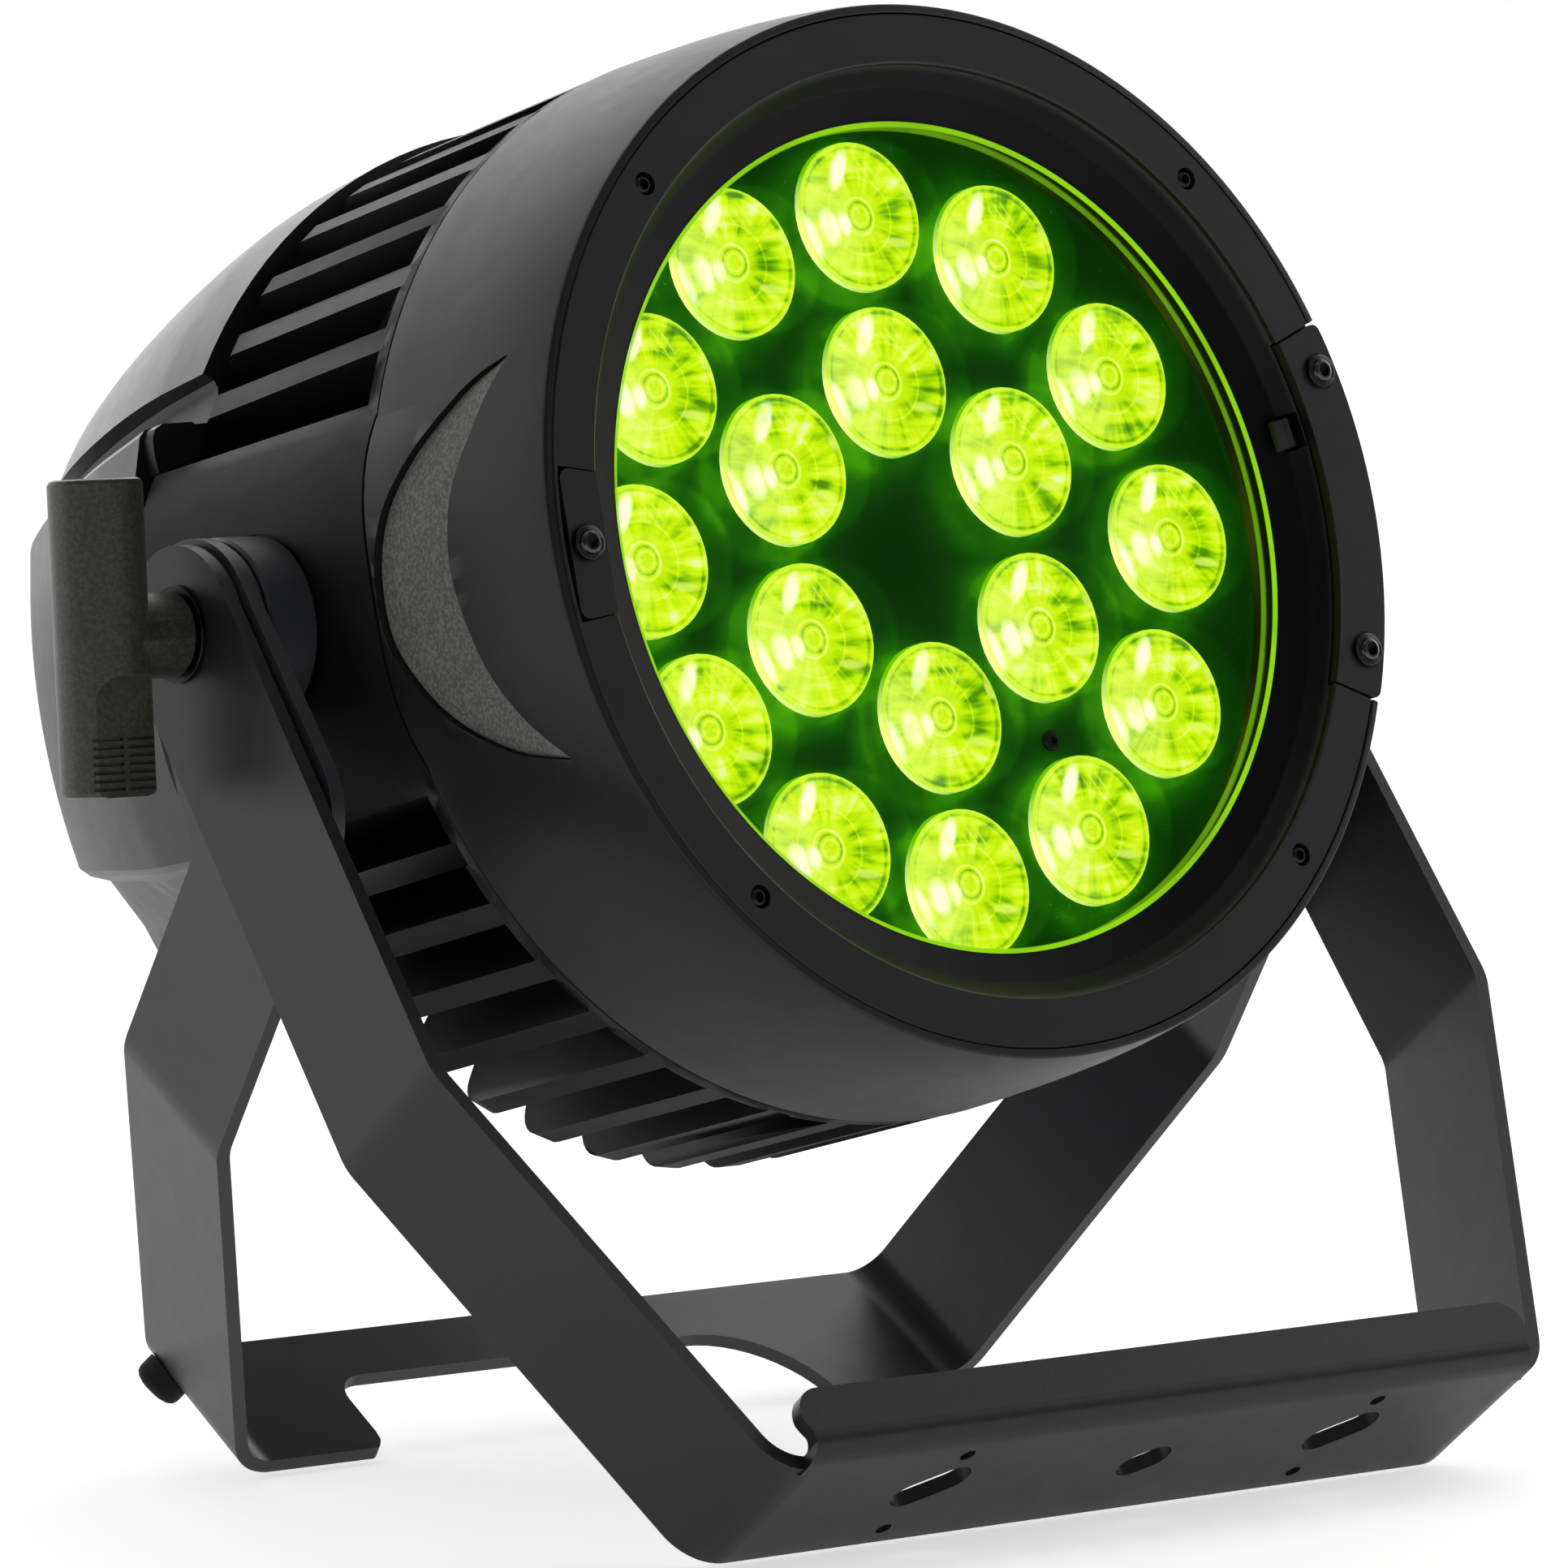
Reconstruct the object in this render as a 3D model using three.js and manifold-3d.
// LED par can light on a double yoke: a front hanging bracket and a rear floor bracket.
// Millimetres, +Z up. The head shines towards -Y, tilted up, and pivots about an X axis.
// It stands on z = 0, centred in X and Y. Left is -X. Every mesh is its own closed solid.
// In the head, "ahead" is the distance forward (-Y) of the pivot along the optical axis,
// and "height" is measured up from the optical axis.
import * as THREE from 'three';
import { mergeVertices } from 'three/addons/utils/BufferGeometryUtils.js';
import Module from 'manifold-3d';

const wasm = await Module();
wasm.setup();

// ---------------------------------------------------------------- shared dimensions
const HEAD_TILT = 13.84;       // degrees the head looks up
const AXIS_DROP = -1.2;        // z of the optical axis from the pivot axis
const PIVOT_HOLE_R = 4.7;
const SIDES = [-1, 1];         // left, right

// ---------------------------------------------------------------- helpers
const { degToRad: rad, radToDeg } = THREE.MathUtils;
const vec2 = (x, y) => new THREE.Vector2(x, y);
const sideName = (side) => (side < 0 ? 'left' : 'right');

// ranges are [from, to] pairs
const flip = ([from, to]) => [-to, -from];
const onSide = (side, range) => (side < 0 ? flip(range) : range);
const around = (centre, half) => [centre - half, centre + half];

// points, angles in degrees anticlockwise from the first axis
const polar = (radius, angle) => [radius * Math.cos(rad(angle)), radius * Math.sin(rad(angle))];
function arc(radius, from, to, steps, centreX = 0, centreY = 0) {
  return Array.from({ length: steps + 1 }, (_, i) => {
    const [x, y] = polar(radius, from + (to - from) * i / steps);
    return [centreX + x, centreY + y];
  });
}
const mirrored = (outline) => outline.map(([x, z]) => [-x, z]);
// [x, z] in the head of a place given by radius and angle about the optical axis
function headSpot(radius, angle) {
  const [x, height] = polar(radius, angle);
  return [x, height + AXIS_DROP];
}

// welds the vertices, drops collapsed triangles and turns the surface outwards
function clean(geometry) {
  geometry.deleteAttribute('normal');
  geometry.deleteAttribute('uv');
  const merged = mergeVertices(geometry, 1e-4);
  const index = merged.getIndex().array;
  const position = merged.getAttribute('position');
  let triangles = [];
  let volume = 0;
  for (let i = 0; i < index.length; i += 3) {
    const corners = [index[i], index[i + 1], index[i + 2]];
    if (new Set(corners).size < 3) continue;
    triangles.push(corners);
    const [first, second, third] = corners.map(
      (corner) => new THREE.Vector3().fromBufferAttribute(position, corner));
    volume += first.dot(second.cross(third));
  }
  if (volume < 0) triangles = triangles.map(([first, second, third]) => [first, third, second]);
  merged.setIndex(triangles.flat());
  return merged;
}

// accepts a geometry or a finished solid
function solid(shape) {
  if (!shape.isBufferGeometry) return shape;
  const surface = clean(shape);
  return new wasm.Manifold(new wasm.Mesh({
    numProp: 3,
    vertProperties: new Float32Array(surface.getAttribute('position').array),
    triVerts: new Uint32Array(surface.getIndex().array),
  }));
}
function geometryOf(body) {
  const mesh = body.getMesh();
  const geometry = new THREE.BufferGeometry();
  const vertices = new Float32Array(mesh.vertProperties);
  geometry.setAttribute('position', new THREE.BufferAttribute(vertices, 3));
  geometry.setIndex(new THREE.BufferAttribute(new Uint32Array(mesh.triVerts), 1));
  return geometry;
}
const join = (...parts) => parts.map((part) => solid(part)).reduce((sum, part) => sum.add(part));
const cut = (base, ...tools) => tools.reduce((rest, tool) => rest.subtract(solid(tool)), solid(base));
const overlap = (one, other) => solid(one).intersect(solid(other));

function box(xRange, yRange, zRange) {
  const ranges = [xRange, yRange, zRange];
  const geometry = new THREE.BoxGeometry(...ranges.map(([from, to]) => to - from));
  return geometry.translate(...ranges.map(([from, to]) => (from + to) / 2));
}
// cylinder along X, Y or Z, offset along the other two axes in x, y, z order
function rod(axis, radius, [from, to], segments, offset1 = 0, offset2 = 0) {
  const geometry = new THREE.CylinderGeometry(radius, radius, to - from, segments);
  geometry.translate(0, (from + to) / 2, 0);
  if (axis === 'x') return geometry.rotateZ(-Math.PI / 2).translate(0, offset1, offset2);
  if (axis === 'y') return geometry.translate(offset1, 0, offset2);
  return geometry.rotateX(Math.PI / 2).translate(offset1, offset2, 0);
}
// [radius, ahead] profile turned about a line along Y
function turned(profile, segments, x = 0, z = 0) {
  const points = profile.map(([radius, ahead]) => vec2(radius, -ahead));
  return new THREE.LatheGeometry(points, segments).translate(x, 0, z);
}
const onAxis = (geometry) => geometry.translate(0, 0, AXIS_DROP);
// closed [radius, ahead] profile turned about the optical axis
const ring = (profile, segments) => onAxis(turned([...profile, profile[0]], segments));
const disc = (radius, [rear, front], segments) =>
  onAxis(turned([[0, rear], [radius, rear], [radius, front], [0, front]], segments));

function extrude(outline, depth, holes = [], steps = 1) {
  const shape = new THREE.Shape(outline.map(([x, y]) => vec2(x, y)));
  for (const hole of holes) shape.holes.push(new THREE.Path(hole.map(([x, y]) => vec2(x, y))));
  return new THREE.ExtrudeGeometry(shape, { depth, bevelEnabled: false, steps });
}
// [x, z] outline extruded towards -Y over a range measured forward
const prismY = (outline, [from, to], holes) =>
  extrude(outline, to - from, holes).rotateX(Math.PI / 2).translate(0, -from, 0);
// [y, z] outline extruded along X
const prismX = (outline, [from, to]) =>
  extrude(outline, to - from).rotateY(Math.PI / 2).rotateX(Math.PI / 2).translate(from, 0, 0);
// skin over [x, z] outlines with equal point counts, one at each "ahead" station
function loft(outlines, stations) {
  const levels = stations.length - 1;
  const skin = extrude(outlines[0], levels, [], levels);
  const position = skin.getAttribute('position');
  for (let i = 0; i < position.count; i++) {
    const level = Math.round(position.getZ(i));
    const distances = outlines[0].map(
      ([x, z]) => (x - position.getX(i)) ** 2 + (z - position.getY(i)) ** 2);
    const [x, z] = outlines[level][distances.indexOf(Math.min(...distances))];
    position.setXYZ(i, x, -stations[level], z);
  }
  return skin;
}
// tube along X around the pivot stud
const pivotRing = (radius, [from, to], segments) =>
  cut(rod('x', radius, [from, to], segments), rod('x', PIVOT_HOLE_R, [from - 1, to + 1], 12));

// ---------------------------------------------------------------- materials
const MATERIALS = {
  black_shell: { color: 0x2d2d2f, roughness: 0.55, metalness: 0.1 },
  bezel_black: { color: 0x2a2a2c, roughness: 0.5, metalness: 0.1 },
  sink_black: { color: 0x343436, roughness: 0.5, metalness: 0.4 },
  cover_black: { color: 0x3a3b3d, roughness: 0.5, metalness: 0.1 },
  trim_grey: { color: 0x5f5f59, roughness: 0.85, metalness: 0.1 },
  glass: { color: 0xa8e060, roughness: 0.05, metalness: 0 },
  rubber: { color: 0x141414, roughness: 0.9, metalness: 0 },
  lens: { color: 0xb6f000, roughness: 0.15, metalness: 0 },
  plate: { color: 0x0c3d08, roughness: 0.6, metalness: 0.1 },
  board: { color: 0x0f5a2a, roughness: 0.6, metalness: 0.1 },
  steel: { color: 0x8a8c90, roughness: 0.35, metalness: 0.9 },
  screw_black: { color: 0x1c1c1e, roughness: 0.35, metalness: 0.8 },
  yoke: { color: 0x3c3c40, roughness: 0.5, metalness: 0.4 },
  lever: { color: 0x34342f, roughness: 0.7, metalness: 0 },
  washer: { color: 0x50545a, roughness: 0.4, metalness: 0.3 },
  alu: { color: 0x9a9c9e, roughness: 0.45, metalness: 0.8 },
  button: { color: 0x202022, roughness: 0.6, metalness: 0 },
  screen: { color: 0x10181c, roughness: 0.1, metalness: 0 },
  connector: { color: 0x1a1a1c, roughness: 0.45, metalness: 0.1 },
};
function piece(group, name, shape, material) {
  const geometry = clean(shape.isBufferGeometry ? shape : geometryOf(shape));
  geometry.computeVertexNormals();
  const mesh = new THREE.Mesh(geometry, new THREE.MeshStandardMaterial(MATERIALS[material]));
  mesh.name = name;
  group.add(mesh);
}

const model = new THREE.Group();
const head = new THREE.Group();
head.rotation.x = rad(-HEAD_TILT);
model.add(head);

// ---------------------------------------------------------------- crescent trims
// edges of the crescent, [ahead, height]
const CRESCENT_REAR = [
  [71.3, 39.6], [58.3, 34.7], [45.4, 24.5], [38.0, 16.7], [34.6, 7.9],
  [34.1, -1.6], [36.4, -11.6], [42.0, -22.2], [51.2, -31.5], [71.3, -39.4],
];
const CRESCENT_FRONT = [
  [61.1, 26.2], [55.6, 17.5], [53.4, 10], [52.7, 1], [54.4, -9.3], [57.6, -20.6], [62.6, -29.8],
];
const TRIM_CLEARANCE = 0.35;

// "grow" widens the crescent all round, most at its two tips
function crescentPrism(side, grow) {
  const lastRear = CRESCENT_REAR.length - 1;
  const edge = [...CRESCENT_REAR, ...CRESCENT_FRONT.slice().reverse()];
  const outline = edge.map(([ahead, height], i) => {
    let shift = i <= lastRear ? [-1, 0.4] : [1, -0.2];
    if (i === 0 || i === lastRear) shift = [2.2, 1.2];
    const moved = height + Math.sign(height) * grow * shift[1];
    return [-(ahead + grow * shift[0]), moved + AXIS_DROP];
  });
  return prismX(outline, onSide(side, [90, 118]));
}
// conical layer along the barrel's surface, from "inset" below it to "outset" above it
const trimSkin = (inset, outset) => ring([
  [107.3 - inset, 76], [110.9 - inset, 31], [110.9 + outset, 31], [107.3 + outset, 76],
], 48);

// ---------------------------------------------------------------- screws and clip places
const BEZEL_SCREWS = [45, 135, 225, 315].map((angle) => headSpot(99.1, angle));
// radius, angle, ahead of the head's underside
const CLIP_SCREWS = [[101.6, 16.7, 83.9], [101.6, -16.7, 83.9], [98.2, 180, 83.8]]
  .map(([radius, angle, underside]) => ({ spot: headSpot(radius, angle), underside }));
const SCREW_BORE_R = 1.9;
const CLIP_RIGHT = { middle: 0, half: 21.9, steps: 6 };   // degrees
const CLIP_LEFT = { middle: 180, half: 8.3, steps: 2 };
const STEP_R = 94.2;           // step in the bezel's front face

const screwBore = ([x, z], radius = SCREW_BORE_R, rear = 70.5) =>
  rod('y', radius, [-90, -rear], 8, x, z);
const clipBores = CLIP_SCREWS.map(({ spot }) => () => screwBore(spot));

// "spread" widens the sector by that many degrees at each end
function clipSector({ middle, half, steps }, [inner, outer], aheadRange, spread = 0) {
  const ends = [middle - half - spread, middle + half + spread];
  const outline = [...arc(outer, ...ends, steps), ...arc(inner, ...ends, steps).reverse()];
  return onAxis(prismY(outline, aheadRange));
}
// screw facing forward with a domed head
function screw([x, z], headR, [underside, top], tip) {
  const shankR = 1.5;
  return turned([
    [0, top - 0.9], [headR * 0.45, top], [headR, top], [headR, underside],
    [shankR, underside], [shankR, tip], [0, tip],
  ], 8, x, z);
}

// ---------------------------------------------------------------- barrel
const BARREL_PROFILE = [       // [radius, ahead]
  [105.4, 83.5], [106.5, 82.4], [109.3, 60], [110.9, 32.7], [103.5, 32.7], [101, 66], [86, 66],
  [86, 69.3], [91.6, 69.3], [91.6, 78.2], [104.7, 78.2], [104.7, 83.5],
];
piece(head, 'barrel_shell', cut(
  ring(BARREL_PROFILE, 48),
  clipSector(CLIP_RIGHT, [93, 112], [79.6, 90], 0.25),
  ...BEZEL_SCREWS.map((spot) => screwBore(spot)),
  ...clipBores.map((bore) => bore()),
  ...SIDES.map((side) => overlap(crescentPrism(side, TRIM_CLEARANCE), trimSkin(1.5, 6))),
), 'black_shell');
for (const side of SIDES) {
  const trim = overlap(crescentPrism(side, 0), trimSkin(1.2, -0.5));
  piece(head, `side_trim_${sideName(side)}`, trim, 'trim_grey');
}

// ---------------------------------------------------------------- bezel, glass, clips
const BEZEL_PROFILE = [        // [radius, ahead]
  [104.4, 78.5], [104.4, 83.3], [STEP_R, 83.3], [STEP_R, 81.2],
  [90.6, 77.9], [84.2, 75.5], [91.3, 75.5], [91.3, 78.5],
];
const CATCH_ANGLE = 11;
const GLASS = { radius: 88.6, front: 75.2, thickness: 3.8 };

// bar pointing out from the optical axis at the frame catch
const catchBar = (radii, half, aheadRange) =>
  onAxis(box(radii, flip(aheadRange), around(0, half)).rotateY(-rad(CATCH_ANGLE)));

piece(head, 'front_bezel', cut(
  ring(BEZEL_PROFILE, 48),
  clipSector(CLIP_RIGHT, [93.9, 112], [79.6, 90], 0.25),
  clipSector(CLIP_LEFT, [STEP_R - 1, 103.4], [80.4, 90], 0.2),
  ...BEZEL_SCREWS.flatMap((spot) => [screwBore(spot), screwBore(spot, 2.5, 80.6)]),
  ...clipBores.map((bore) => bore()),
  catchBar([80, 101.2], 3.8, [78, 79.8]),
  catchBar([80, 93.7], 3.7, [78, 84]),
), 'bezel_black');
piece(head, 'front_glass',
  onAxis(rod('y', GLASS.radius, [-GLASS.front, -GLASS.front + GLASS.thickness], 48)), 'glass');
piece(head, 'glass_gasket',
  ring([[85.2, 69.6], [90.8, 69.6], [90.8, 71.1], [85.2, 71.1]], 24), 'rubber');

piece(head, 'clip_plate_right', cut(
  clipSector(CLIP_RIGHT, [94.3, 106.3], [79.9, 83.6]), clipBores[0](), clipBores[1](),
), 'bezel_black');
piece(head, 'clip_plate_left', cut(
  clipSector(CLIP_LEFT, [STEP_R + 0.3, 103.1], [80.7, 83.5]), clipBores[2](),
), 'bezel_black');
BEZEL_SCREWS.forEach((spot, i) => {
  piece(head, `bezel_screw_${i + 1}`, screw(spot, 2.1, [80.9, 83.0], 72), 'screw_black');
});
CLIP_SCREWS.forEach(({ spot, underside }, i) => {
  const clipScrew = screw(spot, 3.2, [underside, underside + 1.5], 72);
  piece(head, `clip_screw_${i + 1}`, clipScrew, 'screw_black');
});
// sprung catch that holds an accessory frame in the bezel
piece(head, 'frame_catch', join(
  catchBar([87.4, 98.6], 3.2, [78.5, 79.4]),
  catchBar([87.4, 91.0], 3.2, [79.0, 81.6]),
), 'steel');

// ---------------------------------------------------------------- optics
const LENS_R = 15.3;
const LENS_FRONT = 62.7;
const LENS_PROFILE = [         // [radius, ahead]
  [0, 44], [4.5, 44], [LENS_R, 57.4], [LENS_R, LENS_FRONT], [0, LENS_FRONT],
];
const LENS_RINGS = [{ radius: 68.1, count: 12 }, { radius: 34.2, count: 6 }];
const LED_HALF = 3;
const PLATE_SCREW = headSpot(49.0, -55.5);

// [x, z] of each lens, clockwise from the top as seen along +Y
const LENS_SPOTS = LENS_RINGS.flatMap(({ radius, count }) =>
  Array.from({ length: count }, (_, i) => {
    const [height, x] = polar(radius, 360 / count * i);
    return [x, height + AXIS_DROP];
  }));

piece(head, 'lens_array', cut(
  join(disc(92, [57.4, 59.2], 24), ...LENS_SPOTS.map((spot) => turned(LENS_PROFILE, 9, ...spot))),
  rod('y', 2.4, [-62, -40], 6, ...PLATE_SCREW),
), 'lens');
piece(head, 'lens_holder_plate', cut(
  disc(99.8, [59.6, 61.4], 32),
  ...LENS_SPOTS.map((spot) => rod('y', LENS_R + 0.45, [-65, -55], 9, ...spot)),
  rod('y', SCREW_BORE_R, [-65, -40], 6, ...PLATE_SCREW),
), 'plate');
piece(head, 'holder_screw', screw(PLATE_SCREW, 2.2, [61.7, 62.8], 42.2), 'steel');
piece(head, 'led_board', join(
  disc(86, [39.8, 41.4], 30),
  ...LENS_SPOTS.map(([x, z]) => box(around(x, LED_HALF), [-43.4, -41.2], around(z, LED_HALF))),
), 'board');

// ---------------------------------------------------------------- heat sink casting
const FIN_R = 110.7;
const FIN_T = 5.2;
const CORE_R = 84;
const FIN_ROOT_R = CORE_R - 6; // the fins start inside the core wall
const SINK_FRONT = 32.3;       // ahead
const SLOT_FRONT = 28.7;
const SINK_REAR = -33.9;
// fin angles from straight up and from straight down, repeated on both sides
const TOP_FINS = { angles: [4.1, 12.3, 20.5, 28.7, 37.1, 45.6, 53.8, 61.6], round: 3.5 };
const LOW_FINS = { angles: [0, 8, 16, 24, 32.1, 40.2, 48.1, 55.8, 63.1], round: 6 };
// the pods are the thick bosses at each side, around the pivot
const POD = { top: 39.6, low: -38, innerX: 74, stations: [34, 20, 0, -18, SINK_REAR] };

function fin(angle, round) {
  const front = -(SLOT_FRONT + 1);
  const outline = [
    [front, FIN_ROOT_R], [front, FIN_R],
    ...arc(round, 90, 0, 2, -(SINK_REAR + round), FIN_R - round),
    [-SINK_REAR, FIN_ROOT_R],
  ];
  return onAxis(prismX(outline, around(0, FIN_T / 2)).rotateY(rad(angle)));
}
// right-hand pod section: bulged across its height, swelling towards the rear
function podSection(ahead) {
  const rearward = (32.4 - ahead) / 66.3;
  const middleX = 111.4 + 9.4 * (1.45 * rearward - 0.45 * rearward * rearward);
  const edgeX = 102.5 + 9.3 * rearward;
  const face = [0, 0.15, 0.32, 0.5, 0.68, 0.85, 1].map((part) => {
    const weight = (2 * part - 1) ** 2;
    return [middleX * (1 - weight) + edgeX * weight, POD.low + (POD.top - POD.low) * part];
  });
  return [[POD.innerX, POD.low], ...face, [POD.innerX, POD.top]];
}
function pod(side) {
  const sections = POD.stations.map(podSection);
  const skin = loft(side < 0 ? sections.map(mirrored) : sections, POD.stations);
  return cut(skin, box(around(0, 130), [-60, -SINK_FRONT], around(0, 60)));
}
// shoulder tongue of the rear cover, over the end of the lowest top slot;
// "grow" widens it into a clearance
function tongue(side, grow = 0) {
  const outline = [
    [92 - grow, 40.2 - grow], [110.9 + grow, 40.2 - grow], [111.1 + grow, 46],
    [110 + grow, 49 + grow], [107 + grow, 50 + grow], [101, 50 + grow],
    [92 - grow, 44.6 + grow * 1.5],
  ].map(([x, height]) => [side * x, height + AXIS_DROP]);
  return prismY(outline, [-38.6 - grow, -33.6 + grow]);
}

piece(head, 'heatsink_body', cut(
  join(
    ring([
      [66, 39.5], [86, 39.5], [86, 33], [CORE_R, SINK_FRONT], [CORE_R, SINK_REAR], [66, SINK_REAR],
    ], 36),
    onAxis(turned([[0, 39.5], [70, 39.5], [70, 28], [0, 28]], 24)),
    ring([
      [CORE_R - 4, SINK_FRONT], [FIN_R, SINK_FRONT], [FIN_R, SLOT_FRONT], [CORE_R - 4, SLOT_FRONT],
    ], 48),
    ...TOP_FINS.angles.flatMap((angle) => SIDES.map((side) => fin(side * angle, TOP_FINS.round))),
    ...LOW_FINS.angles.flatMap((angle) => (angle === 0 ? [1] : SIDES)
      .map((side) => fin(180 + side * angle, LOW_FINS.round))),
    ...SIDES.map(pod),
  ),
  ...SIDES.flatMap((side) => [
    rod('x', 18.9, onSide(side, [115.4, 130]), 24),
    rod('x', PIVOT_HOLE_R, onSide(side, [96, 130]), 12),
  ]),
  ...SIDES.map((side) => tongue(side, 0.35)),
), 'sink_black');
for (const side of SIDES) {
  const spacer = pivotRing(18.5, onSide(side, [115.7, 126.9]), 24);
  piece(head, `pivot_spacer_${sideName(side)}`, spacer, 'washer');
}

// ---------------------------------------------------------------- rear cover
// ahead, top radius, side middle x, side edge x, side low height, low corner x, low height,
// groove height, shoulder height, groove depth, pinch (share the top radius loses at the sides)
const COVER = [
  [-37.2, 112.0, 119.5, 111.5, -37.6, 85, -55.0, 61.0, 50.6, 3.2, 0],
  [-62, 110.3, 114.3, 107.7, -35.5, 82.5, -54.2, 60.4, 48.2, 4.6, 0.008],
  [-90, 105.2, 103.6, 98.6, -31.2, 76.5, -52.0, 58.8, 46.4, 3.8, 0.02],
  [-116, 98.6, 91.4, 86.6, -27.3, 69, -48.9, 56.0, 45.6, 2.6, 0.035],
  [-130, 92.6, 82.0, 78.0, -24.5, 61, -45.0, 53.2, 45.4, 1.4, 0.045],
  [-139, 83.5, 71.8, 68.2, -22.3, 53.5, -39.0, 48.2, 43.6, 0.6, 0.05],
];
const COVER_STATIONS = COVER.map(([ahead]) => ahead);
const CAVITY_STATIONS = [-40.4, ...COVER_STATIONS.slice(1, -2), -129, -136];
const CAVITY_SCALE = 0.955;    // about a point 20 above the optical axis
const REAR_CUT = [130, 145];   // y range of cuts through the rear wall and panel
const CONNECTORS = [           // name, x, body radius
  ['power_in_connector', -50, 10.5], ['power_out_connector', 50, 10.5],
  ['data_in_connector', -17, 9.5], ['data_out_connector', 17, 9.5],
];
const CONNECTOR_Z = -12;
const VENT_Z = -29;
const EYE_Y = 92;

function coverOutline(station, scale) {
  const [
    , topR, middleX, edgeX, sideLow, lowX, low, groove, shoulder, grooveDepth, pinch,
  ] = station;
  const crown = [12, 24, 36, 47].map((angle) => {
    const [height, x] = polar(topR * (1 - pinch * (angle / 58) ** 2), angle);
    return [x, height];
  });
  const pinchedR = topR * (1 - pinch);
  const crownX = Math.sqrt(pinchedR * pinchedR - groove * groove);
  const half = [
    [0, topR], ...crown, [crownX, groove], [crownX - grooveDepth, (groove + shoulder) / 2],
    [Math.min(crownX + 1.5, edgeX - 0.5), shoulder], [edgeX, 36], [middleX, 12], [middleX, -6],
    [edgeX, sideLow], [edgeX - 7, sideLow - 2.5], [lowX, low], [lowX * 0.5, low],
  ];
  return [...half, ...mirrored(half.slice(1).reverse())]
    .map(([x, height]) => [x * scale, 20 + (height - 20) * scale + AXIS_DROP]);
}
const coverLoft = (scale, stations) =>
  loft(COVER.map((station) => coverOutline(station, scale)), stations);

// circle about the optical axis cut off flat at height "low"
function flatBottomCircle(radius, low) {
  const start = radToDeg(Math.asin(low / radius));
  return arc(radius, start, 180 - start, 20, 0, AXIS_DROP);
}

piece(head, 'rear_cover', join(
  cut(
    coverLoft(1, COVER_STATIONS),
    coverLoft(CAVITY_SCALE, CAVITY_STATIONS),
    prismY(flatBottomCircle(73, -43), [-45, -30]),
    box(around(0, 49), REAR_CUT, [13.5, 60.5]),
    ...CONNECTORS.map(([, x, radius]) => rod('y', radius + 0.4, REAR_CUT, 16, x, CONNECTOR_Z)),
    rod('y', 4.4, REAR_CUT, 12, 0, VENT_Z),
    rod('z', 3.4, [-60, -40], 10, 0, EYE_Y),
  ),
  ...SIDES.map((side) => tongue(side)),
), 'cover_black');
piece(head, 'cover_gasket',
  prismY(flatBottomCircle(81, -50), [-36.9, -34.2], [flatBottomCircle(75.5, -45)]), 'rubber');

// electronics inside the rear cover
piece(head, 'power_supply', box(around(0, 46), [46, 108], [-30, 44]), 'alu');
piece(head, 'control_board', box(around(0, 48), [124.5, 126.1], [15, 59]), 'board');

// control panel with a display and four menu keys
const BUTTON_XS = [-33, -11, 11, 33];
const BUTTON_Z = 20.5;
const BUTTON_PROFILE = [[0, -131.5], [4.5, -131.5], [4.5, -143.0], [3.9, -143.8], [0, -143.8]];
piece(head, 'control_panel', cut(
  join(
    box(around(0, 52), [139.3, 141.7], [9, 62]),
    box(around(0, 48.5), [132.4, 139.4], [14, 60]),
  ),
  box(around(0, 32.4), REAR_CUT, [32.6, 56.4]),
  ...BUTTON_XS.map((x) => rod('y', 5.0, REAR_CUT, 16, x, BUTTON_Z)),
), 'bezel_black');
piece(head, 'display_window', box(around(0, 32), [138.2, 141.9], [33, 56]), 'screen');
BUTTON_XS.forEach((x, i) => {
  piece(head, `menu_button_${i + 1}`, turned(BUTTON_PROFILE, 14, x, BUTTON_Z), 'button');
});

// body, flange and an open collar to the rear
for (const [name, x, radius] of CONNECTORS) {
  piece(head, name, turned([
    [0, -128], [radius, -128], [radius, -139.3], [radius + 3, -139.3], [radius + 3, -141.6],
    [radius + 1, -142.2], [radius + 1, -148.5], [radius - 1.6, -148.5], [radius - 1.6, -140.6],
    [0, -140.6],
  ], 14, x, CONNECTOR_Z), 'connector');
}
piece(head, 'vent_valve', turned([
  [0, -133.5], [4, -133.5], [4, -139.3], [7.2, -139.3], [7.2, -142.1], [6.2, -143.3], [0, -143.3],
], 12, 0, VENT_Z), 'rubber');

// safety cable eye under the rear cover: ring, shank and collar
piece(head, 'safety_eye', join(
  new THREE.TorusGeometry(8.6, 2.3, 6, 16).rotateY(Math.PI / 2).translate(0, EYE_Y, -65.2),
  rod('z', 3.0, [-57, -46], 8, 0, EYE_Y),
  rod('z', 6, [-55.6, -54.2], 10, 0, EYE_Y),
), 'steel');

// ---------------------------------------------------------------- yokes
// In a yoke's frame X runs across, "down" along the arms (-Z) and "fore" over the strip (-Y).
// X values are to the outer face of the sheet. "lean" turns the yoke about X, in degrees.
const FRONT = {
  lean: -37.25, halfWidth: 17.35, topX: 136.0, bendX: 137.1, bendDown: 112.3, baseX: 99.2,
  length: 205.4,
};
const REAR = {                 // its strip is cranked forward by "offset" below the elbow
  lean: 32.2, halfWidth: 18.5, topX: 131.9, bendX: 132.6, bendDown: 83.1, baseX: 97.0,
  offset: 40.4, elbowDown: 15.1,
};
const SHEET = 3.0;
const BEND_R = 11;             // at the middle of the sheet

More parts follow.
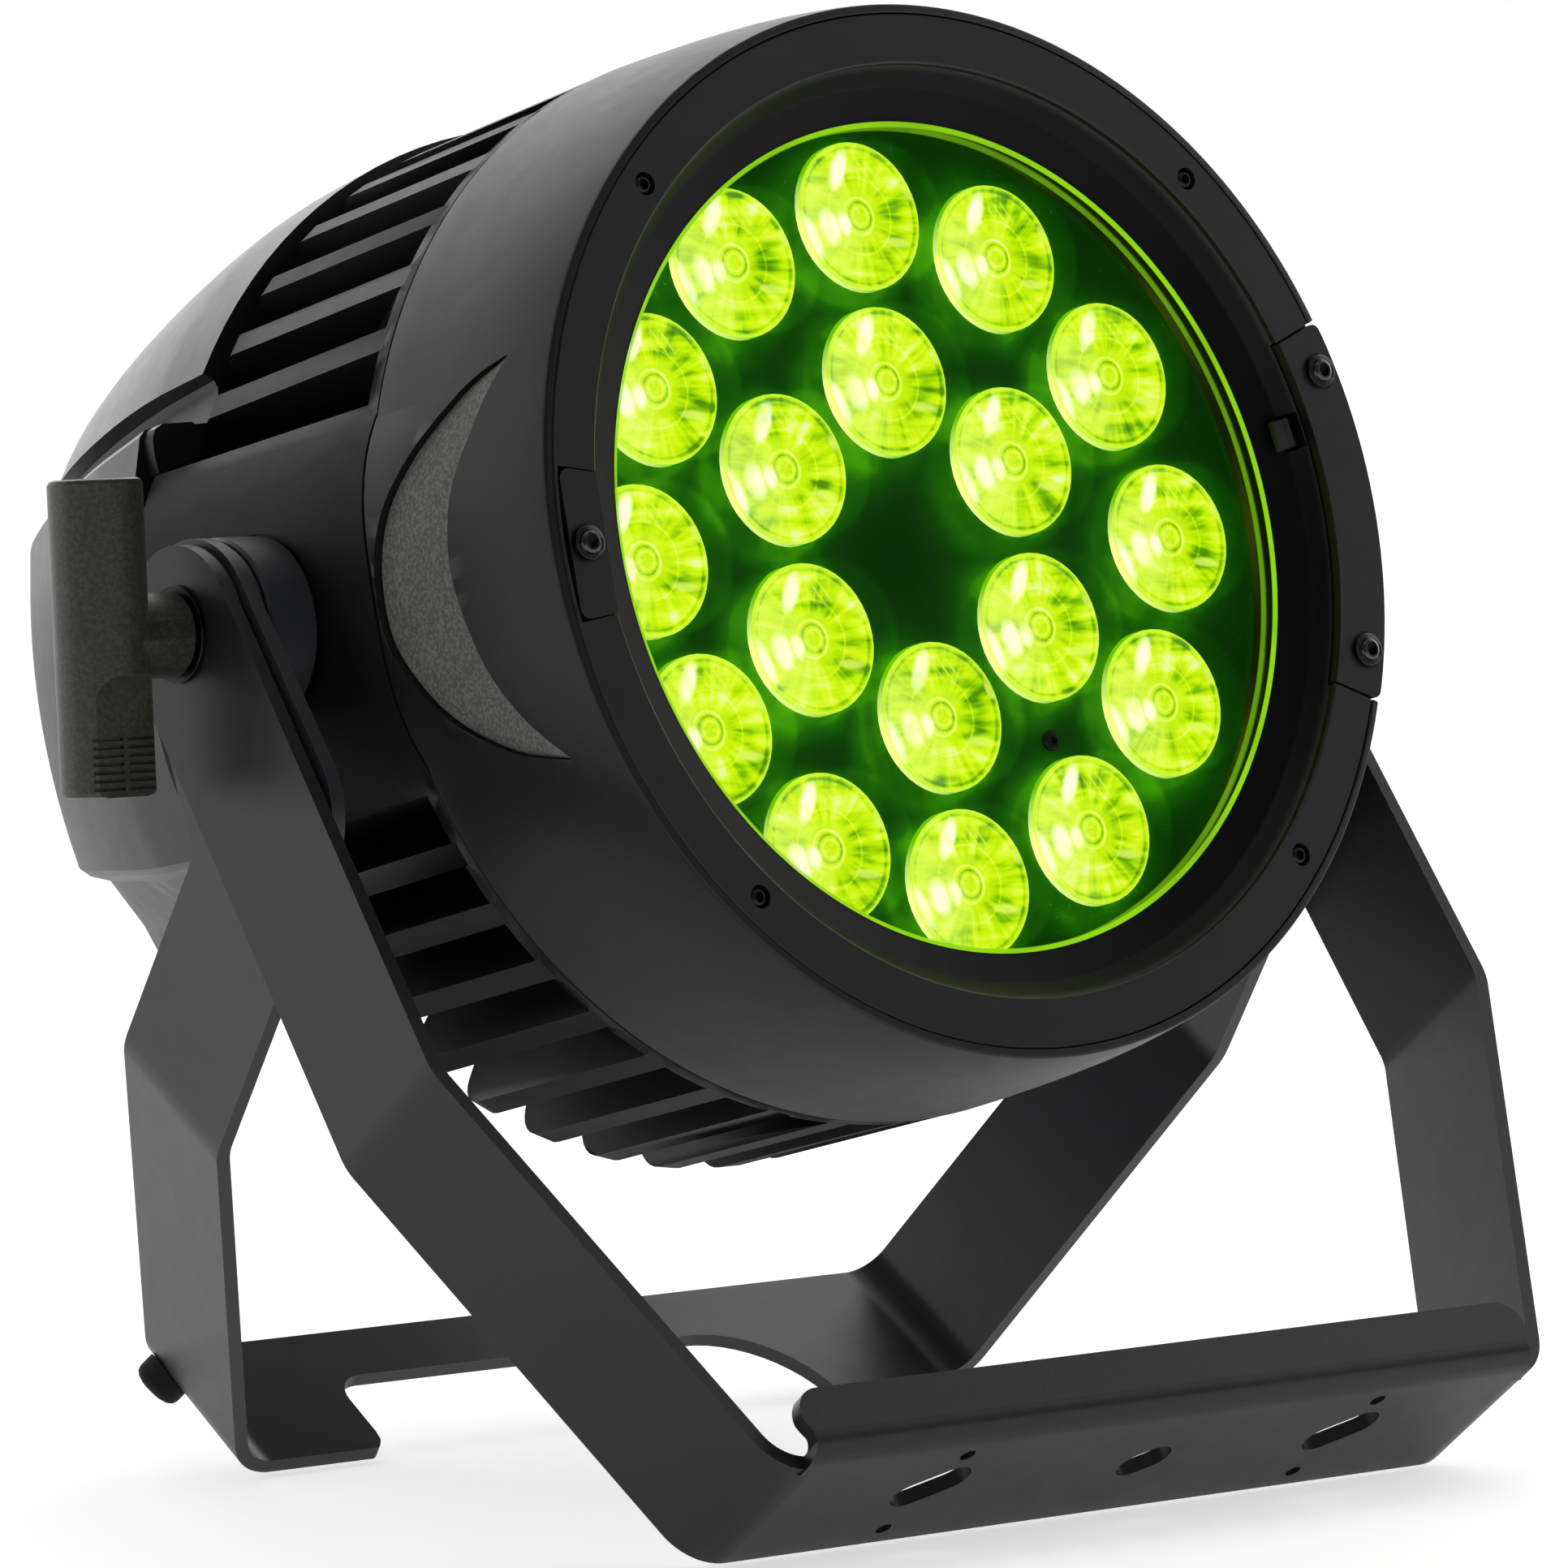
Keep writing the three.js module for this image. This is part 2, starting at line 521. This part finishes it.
// the rear yoke's front edge reaches down to the same floor as the front yoke's rear edge
const floorDrop = FRONT.length * Math.cos(rad(FRONT.lean))
  + FRONT.halfWidth * Math.sin(rad(-FRONT.lean));
const REAR_LENGTH = (floorDrop - (REAR.offset + REAR.halfWidth) * Math.sin(rad(REAR.lean)))
  / Math.cos(rad(REAR.lean));

function yokeGroup(lean) {
  const group = new THREE.Group();
  group.rotation.x = rad(lean);
  model.add(group);
  return group;
}
// [x, down] line with its inner corners rounded to BEND_R
function roundCorners(points) {
  const line = [points[0]];
  for (let i = 1; i < points.length - 1; i++) {
    const corner = vec2(...points[i]);
    const before = vec2(...points[i - 1]).sub(corner).normalize();
    const after = vec2(...points[i + 1]).sub(corner).normalize();
    const angle = Math.acos(THREE.MathUtils.clamp(before.dot(after), -1, 1));
    const setback = BEND_R / Math.tan(angle / 2);
    const enter = corner.clone().addScaledVector(before, setback);
    const leave = corner.clone().addScaledVector(after, setback);
    const inward = before.clone().add(after).normalize();
    const centre = corner.clone().addScaledVector(inward, BEND_R / Math.sin(angle / 2));
    const steps = angle > 2.2 ? 2 : 4;
    const start = Math.atan2(enter.y - centre.y, enter.x - centre.x);
    let end = Math.atan2(leave.y - centre.y, leave.x - centre.x);
    while (end - start > Math.PI) end -= 2 * Math.PI;
    while (end - start < -Math.PI) end += 2 * Math.PI;
    for (let k = 0; k <= steps; k++) {
      const turn = start + (end - start) * k / steps;
      line.push([centre.x + BEND_R * Math.cos(turn), centre.y + BEND_R * Math.sin(turn)]);
    }
  }
  line.push(points[points.length - 1]);
  return line;
}
function offsetLine(line, distance) {
  return line.map(([x, down], i) => {
    const before = line[Math.max(0, i - 1)];
    const after = line[Math.min(line.length - 1, i + 1)];
    const normal = vec2(after[1] - before[1], -(after[0] - before[0])).normalize();
    return [x + normal.x * distance, down + normal.y * distance];
  });
}
// sheet bent into a U: both arms and the base plate
function yokeStrip({ topX, bendX, bendDown, baseX }, length, foreRange) {
  const halfSheet = SHEET / 2;
  const half = roundCorners([
    [topX - halfSheet, -20], [bendX - halfSheet, bendDown],
    [baseX - halfSheet, length - halfSheet], [0, length - halfSheet],
  ]).slice(0, -1);
  const centreLine = [...half, ...mirrored(half.slice().reverse())];
  const outline = [
    ...offsetLine(centreLine, halfSheet), ...offsetLine(centreLine, -halfSheet).reverse(),
  ];
  return prismY(outline.map(([x, down]) => [x, -down]), foreRange);
}
// [fore, down] outline extruded along X
const sidePrism = (outline, xRange = [-200, 200]) =>
  prismX(outline.map(([fore, down]) => [-fore, -down]), xRange);
// [x, fore] outline extruded over a range of "down"
const platePrism = (outline, [from, to]) =>
  extrude(outline.map(([x, fore]) => [x, -fore]), to - from).translate(0, 0, -to);
const armHole = (side) => rod('x', PIVOT_HOLE_R, onSide(side, [120, 140]), 16);

// round-ended slot in the plate, turned about its centre
function slot(centreX, centreFore, length, width) {
  const turn = rad(32);
  const reach = (length - width) / 2;
  const ends = [
    ...arc(width / 2, -90, 90, 5, reach), ...arc(width / 2, 90, 270, 5, -reach),
  ];
  return ends.map(([x, fore]) => [
    centreX + x * Math.cos(turn) - fore * Math.sin(turn),
    centreFore + x * Math.sin(turn) + fore * Math.cos(turn),
  ]);
}
const octagon = (x, fore, radius) => arc(radius, 0, 360, 8, x, fore).slice(0, -1);

// lip of the front yoke: the plate runs on forward and folds up towards the lamp
function frontLip() {
  const halfLength = 93.6;
  const rootFore = FRONT.halfWidth - 2;
  const frontFore = 23.4;
  const innerR = 2.2;
  const outerR = innerR + SHEET;
  const topDown = FRONT.length - 14;
  const fold = (radius) => arc(radius, 90, 0, 3, frontFore - outerR, FRONT.length - outerR);
  const lip = sidePrism([
    [rootFore, FRONT.length], ...fold(outerR), [frontFore, topDown],
    [frontFore - SHEET, topDown], ...fold(innerR).reverse(), [rootFore, FRONT.length - SHEET],
  ], around(0, halfLength));
  // waste outside each rounded upper corner, from the lip's end and 6 below its top
  const waste = [[-6, 6], [-3, 5.2], [-0.8, 3], [0, 0], [2, 0], [2, 8], [-6, 8]];
  return cut(lip, ...SIDES.map((side) => prismY(
    waste.map(([out, up]) => [side * (halfLength + out), -(topDown + 6 - up)]),
    [frontFore - 9, frontFore + 3],
  )));
}
function buildFrontYoke() {
  const { halfWidth, length } = FRONT;
  const slotX = 53.2;
  const throughPlate = (outline) => platePrism(outline, [length - 8, length + 4]);
  const strip = overlap(
    yokeStrip(FRONT, length, around(0, halfWidth)),
    sidePrism([
      ...arc(halfWidth, 180, 360, 10), [halfWidth, length + 5], [-halfWidth, length + 5],
    ]),
  );
  // a turned slot with two small holes beside it near each end, and one in the middle
  const yoke = cut(
    join(strip, frontLip()),
    ...SIDES.flatMap((side) => [
      throughPlate(slot(side * slotX, 3.4, 17, 9)),
      throughPlate(octagon(side * slotX + 1.6, 14.8, 1.7)),
      throughPlate(octagon(side * slotX - 1.6, -12.0, 1.7)),
      armHole(side),
    ]),
    throughPlate(slot(2.0, 2.0, 12, 8.6)),
  );
  piece(yokeGroup(FRONT.lean), 'front_yoke', yoke, 'yoke');
}
buildFrontYoke();

const rearFore = REAR.offset - REAR.halfWidth;      // edges of the rear yoke's plate
const frontFore = REAR.offset + REAR.halfWidth;

// side view of the rear yoke's cranked arm
function rearArmOutline() {
  const { halfWidth, offset, elbowDown } = REAR;
  const crank = radToDeg(Math.atan2(elbowDown, offset));
  return [
    ...arc(halfWidth, crank + 90, crank + 270, 10),
    ...arc(halfWidth, crank - 90, 0, 5, offset, elbowDown),
    [frontFore, REAR_LENGTH + 5], [rearFore, REAR_LENGTH + 5],
    [rearFore, elbowDown + halfWidth * 1.18 + 2.5],
    [rearFore - 1.6, elbowDown + halfWidth * 0.98 + 2],
  ];
}
// notch in the front edge of the rear yoke's plate, [x, fore]
function notchOutline() {
  const leftX = -59.5;
  const rightX = 60.5;
  const floor = 36.2;
  const cornerR = 26;
  return [
    [leftX - 1, frontFore + 5], [leftX - 1, frontFore - 1.2], [leftX, frontFore - 4],
    [leftX + 0.6, floor + 4], [leftX + 2, floor + 1], [leftX + 5, floor],
    [rightX - cornerR, floor],
    ...arc(cornerR, -70, -10, 3, rightX - cornerR, floor + cornerR),
    [rightX, frontFore + 5],
  ];
}
function buildRearYoke() {
  const group = yokeGroup(REAR.lean);
  // bend between arm and plate: its centre, and the way its middle faces
  const armX = REAR.baseX - REAR.bendX;
  const armDown = REAR_LENGTH - SHEET / 2 - REAR.bendDown;
  const halfAngle = Math.acos(armX / Math.hypot(armX, armDown)) / 2;
  const faceX = Math.cos(halfAngle);
  const faceDown = Math.sin(halfAngle);
  const reach = BEND_R / Math.sin(halfAngle);
  const centreX = REAR.baseX - SHEET / 2 - faceX * reach;
  const centreDown = REAR_LENGTH - SHEET / 2 - faceDown * reach;
  const footFore = rearFore + 5.8;
  const outerR = BEND_R + SHEET / 2;
  const innerR = BEND_R - SHEET / 2;
  // stands a shape made along +Y on the bend's centre, pointing out through its middle
  const onBend = (geometry, side) => geometry.rotateX(-Math.PI / 2)
    .rotateY(-side * Math.atan2(faceX, faceDown))
    .translate(side * centreX, -footFore, -centreDown);

  const yoke = cut(
    overlap(yokeStrip(REAR, REAR_LENGTH, [-25, frontFore]), sidePrism(rearArmOutline())),
    platePrism(notchOutline(), [REAR_LENGTH - 9, REAR_LENGTH + 4]),
    ...SIDES.map(armHole),
    ...SIDES.map((side) => onBend(rod('y', 2.3, [innerR - 3, outerR + 3], 10), side)),
  );
  piece(group, 'rear_yoke', yoke, 'yoke');

  // rubber foot: a cap hollowed to sit on the bend, with a stem through it
  const footGap = 0.3;
  const capProfile = [         // [radius, distance from the bend's centre]
    [0, innerR], [5.3, innerR], [5.3, outerR + 3.6], [4.3, outerR + 4.8], [0, outerR + 5.2],
  ].map(([radius, out]) => vec2(radius, out));
  for (const side of SIDES) {
    const bendRange = [-frontFore, -rearFore + 20];
    const foot = join(
      cut(
        onBend(new THREE.LatheGeometry(capProfile, 12), side),
        rod('y', outerR + footGap, bendRange, 40, side * centreX, -centreDown),
      ),
      onBend(rod('y', 1.9, [innerR + 0.2, outerR + 2], 8), side),
    );
    piece(group, `rubber_foot_${sideName(side)}`, foot, 'rubber');
  }
}
buildRearYoke();

// ---------------------------------------------------------------- pivots and clamp levers
const LEVER = { x: 154.2, turn: -3.2, radius: 9.3, half: 30.8, stemR: 8.45, chamfer: 0.9 };
const RINGS = [                // name, radius, x range, segments, material
  ['inner_washer', 17.6, [127.2, 128.6], 20, 'washer'],
  ['outer_washer', 16.8, [132.15, 132.75], 20, 'washer'],
  ['clamp_washer', 9.6, [136.3, 137.2], 16, 'steel'],
];
// round tee lever with a relief and five grip grooves on the lower front of its bar
function clampLever(side) {
  const { radius, half, chamfer } = LEVER;
  const centreX = side * LEVER.x;
  const bar = new THREE.LatheGeometry([
    vec2(0, -half), vec2(radius - chamfer, -half), vec2(radius, -half + chamfer),
    vec2(radius, half - chamfer), vec2(radius - chamfer, half), vec2(0, half),
  ], 18).rotateX(Math.PI / 2).translate(centreX, 0, 0);
  const xRange = around(centreX, 14);
  const grooves = Array.from({ length: 5 }, (_, i) =>
    box(xRange, [-radius + 1, -radius + 3.5], around(-19.6 - 2.3 * i, 0.55)));
  return cut(
    join(bar, rod('x', LEVER.stemR, onSide(side, [137.5, LEVER.x]), 16)),
    rod('x', 5.7, onSide(side, [137, 149.8]), 12),
    box(xRange, [-14, -radius + 2.7], [-40, -8.2]),
    ...grooves,
  ).rotate([LEVER.turn, 0, 0]);
}
for (const side of SIDES) {
  for (const [name, radius, range, segments, material] of RINGS) {
    const washer = pivotRing(radius, onSide(side, range), segments);
    piece(model, `${name}_${sideName(side)}`, washer, material);
  }
  // stud with a wider head
  piece(model, `clamp_stud_${sideName(side)}`, join(
    rod('x', 4.0, onSide(side, [98, 137.9]), 12),
    rod('x', 5.2, onSide(side, [137.8, 146.2]), 12),
  ), 'steel');
  piece(model, `clamp_lever_${sideName(side)}`, clampLever(side), 'lever');
}

// ---------------------------------------------------------------- stand on the ground, centred
const root = new THREE.Group();
root.add(model);
root.updateMatrixWorld(true);
const bounds = new THREE.Box3().setFromObject(root, true);
const centre = bounds.getCenter(new THREE.Vector3());
model.position.set(-centre.x, -centre.y, -bounds.min.z);
root.updateMatrixWorld(true);

export default root;
